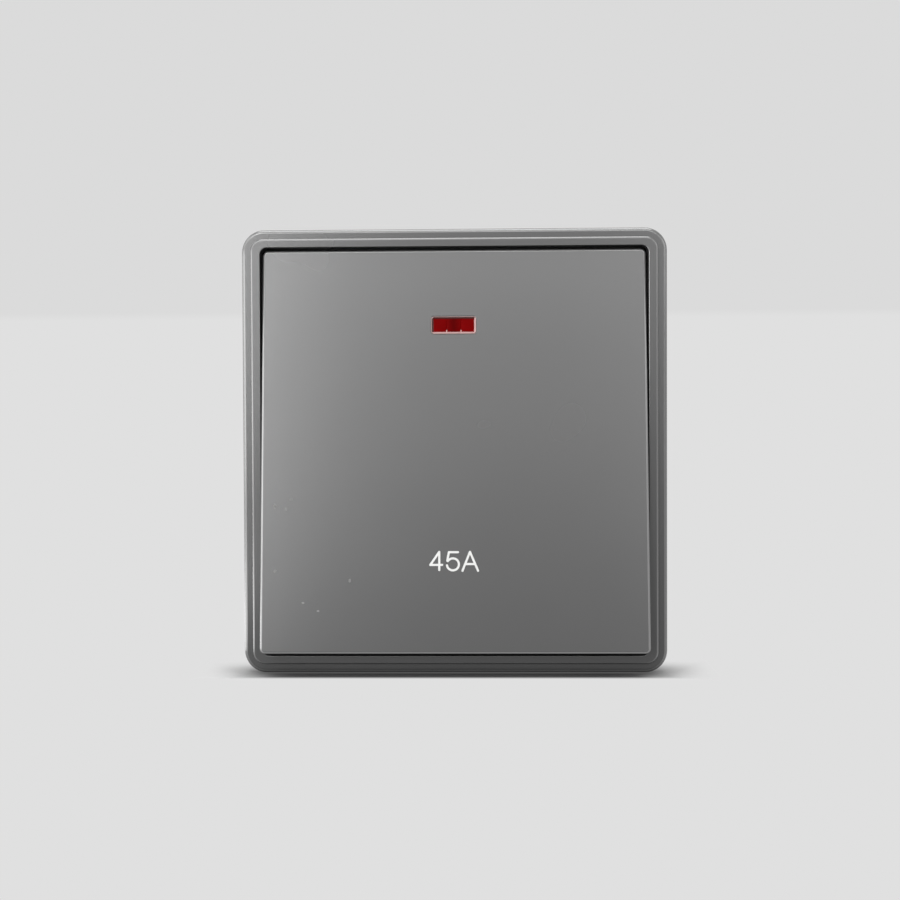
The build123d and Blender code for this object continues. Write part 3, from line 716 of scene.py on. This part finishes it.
def makeDust(spec):
    # Each speck is a low dome with a wavering outline.
    rng = np.random.default_rng(spec["seed"])
    rings, around = spec["rings"], spec["around"]
    turn = np.linspace(0, 2 * np.pi, around, endpoint=False)
    tilt = np.linspace(0, np.pi / 2, rings + 1)[:-1]
    points, faces, base = [], [], 0
    for x, z, radius in spec["spots"]:
        waver = sum((size * np.sin(count * turn + rng.uniform(0, spec["phase"]))
                     for count, size in spec["waves"]), 1)
        reach = radius * np.cos(tilt)[:, None] * waver
        rise = np.repeat(radius * spec["height"] * np.sin(tilt), around) - spec["sunk"]
        domeX, domeZ = x + reach * np.cos(turn), z + reach * np.sin(turn)
        dome = np.stack([domeX.ravel(), rise, domeZ.ravel()], 1)
        ends = [(x, radius * spec["height"] - spec["sunk"], z), (x, -spec["under"], z)]
        points += [dome, ends]
        ring = base + np.arange(rings * around).reshape(rings, around)
        beside = np.roll(ring, -1, axis=1)
        tip = np.full(around, base + rings * around)
        sides = np.stack([ring[:-1], beside[:-1], beside[1:], ring[1:]], -1).reshape(-1, 4)
        cap = np.stack([ring[-1], beside[-1], tip], 1)
        bottom = np.stack([beside[0], ring[0], tip + 1], 1)
        faces += sides.tolist() + cap.tolist() + bottom.tolist()
        base += rings * around + 2
    points = onRocker(np.concatenate(points))
    meshPiece("dustSpecks", points, faces, "rocker", [paleDust])


makeDust(dustSpots)
print("dust placed")


# ---- plunger springs ----
springShape = {
    "x": 11.5,                # left and right of the middle, millimetres
    "first": 0.03,            # behind the pivot, where the fixed end starts
    "free": 3.94,
    "radius": 1.55,
    "wire": 0.36,
    "turns": 5.6,
    "closed": (0.75, 0.45),   # turns at each end, and their pitch
    "steps": 24,              # a turn
    "around": 10,
}


def makeSpring(side, s):
    # A round wire along a helix about y whose pitch is closer at both ends.
    sideName = "left" if side < 0 else "right"
    turn = np.linspace(0, s["turns"], round(s["turns"] * s["steps"]) + 1)
    endTurns, endPitch = s["closed"]
    rise = s["free"] - s["wire"]
    along = np.interp(turn, [0, endTurns, s["turns"] - endTurns, s["turns"]],
                      [0, endTurns * endPitch, rise - endTurns * endPitch, rise])
    angle, level = 2 * np.pi * turn, np.zeros_like(turn)
    outward = np.stack([np.cos(angle), level, np.sin(angle)], 1)
    centre = outward * s["radius"] + np.stack([level, -along, level], 1)
    ahead = np.gradient(centre, axis=0)
    ahead /= np.linalg.norm(ahead, axis=1)[:, None]
    across = np.cross(ahead, outward)
    ring = np.linspace(0, 2 * np.pi, s["around"], endpoint=False)[None, :, None]
    offset = np.cos(ring) * outward[:, None] + np.sin(ring) * across[:, None]
    tube = centre[:, None] + s["wire"] / 2 * offset
    back = -rockerPlane["faceAhead"] / mm - s["first"] - s["wire"] / 2
    points = tube.reshape(-1, 3) + np.array([side * s["x"], back, 0])
    index = np.arange(len(points)).reshape(len(turn), s["around"])
    beside = np.roll(index, -1, axis=1)
    sides = np.stack([index[:-1], index[1:], beside[1:], beside[:-1]], -1).reshape(-1, 4)
    faces = sides.tolist() + [index[0].tolist(), index[-1, ::-1].tolist()]
    piece = meshPiece("coiledSpring" + sideName.capitalize(), onRocker(points), faces, None,
                      [metals["springSteel"]])
    piece.data.polygons.foreach_set("use_smooth", [True] * len(sides) + [False, False])
    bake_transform(piece)
    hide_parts("plunger_spring_" + sideName)


for springSide in (-1, 1):
    makeSpring(springSide, springShape)
print("springs coiled")


# ---- floor and backdrop ----
stageSet = {
    "floor": -45.0 * mm,
    "near": -1.5, "far": 0.9, "side": 2.0, "top": 1.6,
    "bend": 0.3,
    "bendSteps": 25,
    "lower": 0.745,       # shown colour below the line, about 224 of 255
    "upper": 0.708,       # and above it, about 219
    "line": (0.103, 0.11),
    "lit": 0.75,          # colour of the floor where it takes the object's shadow
    # painted shade: an occlusion node darkens the floor's colour towards this in the crack under
    # the object, over the next distance and with the next power
    "dark": 0.03,         # and in the crack under the object
    "crack": 9.0 * mm,
    "clearPower": 1.5,    # of the open share above the floor, from dark to lit
    "deepest": (4.0 * mm, -9.8 * mm),   # the shadow grows from here to here
    "bounce": 0.4,        # colour that other rays see
    "foot": (43.0 * mm, 12.8 * mm),     # half width of the shadow's dark part, and its front edge
    "fade": (0.0, 10.0 * mm),
    "frontFade": 1.8 * mm,
}


def paperMaterial(spec):
    # The camera, reflections and glass see the pale paper; other rays see a mid grey, so that it
    # adds little light. Round the object's foot the paper is lit and keeps the object's shadow, and
    # an occlusion node paints shade into its colour where the gap under the object closes; in front
    # of the object and further off it has its plain colour.
    material, tree, surface = newMaterial("palePaper")
    tree.nodes.remove(surface)
    axes = objectAxes(tree)
    upper = mapRange(tree, axes["Z"], 0.0, 1.0, *spec["line"])
    plain = tree.nodes.new("ShaderNodeEmission")
    shade = mixColour(tree, upper, (spec["lower"],) * 3, (spec["upper"],) * 3)
    tree.links.new(shade, plain.inputs["Color"])
    crack = tree.nodes.new("ShaderNodeAmbientOcclusion")
    crack.inputs["Distance"].default_value = spec["crack"]
    clear = mathNode(tree, "POWER", crack.outputs["AO"], spec["clearPower"])
    lit = tree.nodes.new("ShaderNodeBsdfDiffuse")
    # Painted shade: the floor's colour darkens where the gap under the object closes.
    floorPaintedShade = mixColour(tree, clear, (spec["dark"],) * 3, (spec["lit"],) * 3)
    tree.links.new(floorPaintedShade, lit.inputs["Color"])
    halfWidth, front = spec["foot"]
    beside = mathNode(tree, "SUBTRACT", mathNode(tree, "ABSOLUTE", axes["X"]), halfWidth)
    beside = mapRange(tree, beside, 0.0, 1.0, *spec["fade"])
    behind = mapRange(tree, axes["Y"], 0.0, 1.0, spec["deepest"][1], spec["deepest"][0])
    inFront = mapRange(tree, axes["Y"], 1.0, 0.0, -front - spec["frontFade"], -front)
    away = mathNode(tree, "MAXIMUM", mathNode(tree, "MAXIMUM", beside, behind), inFront)
    shown = mixShader(tree, away, lit.outputs[0], plain.outputs[0])
    bounce = tree.nodes.new("ShaderNodeBsdfDiffuse")
    bounce.inputs["Color"].default_value = (spec["bounce"],) * 3 + (1,)
    final = mixShader(tree, seenDirectly(tree), bounce.outputs[0], shown)
    tree.links.new(final, tree.nodes["Material Output"].inputs["Surface"])
    return material


def makeStage(spec):
    # A sheet carried along a profile: flat floor, a quarter bend, then an upright back.
    angles = np.linspace(0, np.pi / 2, spec["bendSteps"])
    bendY = spec["far"] - spec["bend"] + spec["bend"] * np.sin(angles)
    bendZ = spec["floor"] + spec["bend"] * (1 - np.cos(angles))
    y = np.concatenate([[spec["near"]], bendY, [spec["far"]]])
    z = np.concatenate([[spec["floor"]], bendZ, [spec["top"]]])
    x = np.array([-spec["side"], spec["side"]])
    points = np.stack([np.tile(x, len(y)), np.repeat(y, 2), np.repeat(z, 2)], 1)
    index = np.arange(len(points)).reshape(-1, 2)
    faces = np.stack([index[:-1, 0], index[:-1, 1], index[1:, 1], index[1:, 0]], 1)
    mesh = bpy.data.meshes.new("paleSheet")
    mesh.from_pydata(points.tolist(), [], faces.tolist())
    mesh.polygons.foreach_set("use_smooth", [True] * len(faces))
    mesh.materials.append(paperMaterial(spec))
    sheet = bpy.data.objects.new("paleSheet", mesh)
    bpy.context.scene.collection.objects.link(sheet)


makeStage(stageSet)


# ---- lights ----
lamps = {
    # azimuth (negative is left of the camera), elevation, distance, width, height, power
    "overhead": (0, 84, 0.8, 0.7, 0.7, 4.2),
    "topBox": (-6, 30, 1.0, 0.8, 0.3, 2.7),
    "leftBox": (-18, 14, 0.9, 0.09, 0.5, 1.75),
    "leftWide": (-45, 4, 0.9, 0.7, 0.3, 2.4),
    "leftWing": (-85, 6, 0.6, 0.4, 0.25, 0.5),
    "leftTop": (-62, 38, 0.8, 0.9, 0.5, 1.8),
    "rightBox": (20, 14, 0.9, 0.16, 0.5, 0.9),
    "rightWing": (56, 20, 0.6, 0.35, 0.25, 0.4),
    "frontBox": (0, 13, 1.0, 0.75, 0.28, 0.62),
}
# A lit card lying on the floor to the left, which the lower half of the left edges mirrors.
floorCard = {
    "place": (-170.0 * mm, -70.0 * mm, -44.0 * mm),
    "width": 0.22, "length": 0.3, "power": 0.45,
}
room = {
    "light": 0.1,
    "shown": 0.708,
}


def areaLamp(name, width, height, power):
    lamp = bpy.data.lights.new(name, "AREA")
    lamp.shape = "RECTANGLE"
    lamp.size, lamp.size_y = width, height
    lamp.energy = power
    holder = bpy.data.objects.new(name, lamp)
    bpy.context.scene.collection.objects.link(holder)
    return holder


def makeLamp(name, azimuth, elevation, distance, width, height, power):
    holder = areaLamp(name, width, height, power)
    a, e = math.radians(azimuth), math.radians(elevation)
    place = Vector((math.sin(a) * math.cos(e), -math.cos(a) * math.cos(e), math.sin(e))) * distance
    holder.location = place
    holder.rotation_euler = (-place).to_track_quat("-Z", "Y").to_euler()


def makeFloorCard(spec):
    holder = areaLamp("floorCard", spec["width"], spec["length"], spec["power"])
    holder.location = spec["place"]
    holder.rotation_euler = (math.pi, 0, 0)
    holder.visible_camera = False


def makeWorld(spec):
    # The camera, reflections and glass see the pale room; for other rays it is a faint fill.
    world = bpy.data.worlds.new("softRoom")
    world.use_nodes = True
    tree = world.node_tree
    colour = mixColour(tree, seenDirectly(tree), (spec["light"],) * 3, (spec["shown"],) * 3)
    tree.links.new(colour, tree.nodes["Background"].inputs["Color"])
    tree.nodes["Background"].inputs["Strength"].default_value = 1.0
    bpy.context.scene.world = world


for lampName, lampSpec in lamps.items():
    makeLamp(lampName, *lampSpec)
makeFloorCard(floorCard)
makeWorld(room)
bpy.context.scene.view_settings.view_transform = "Standard"
print("stage and lights ready")
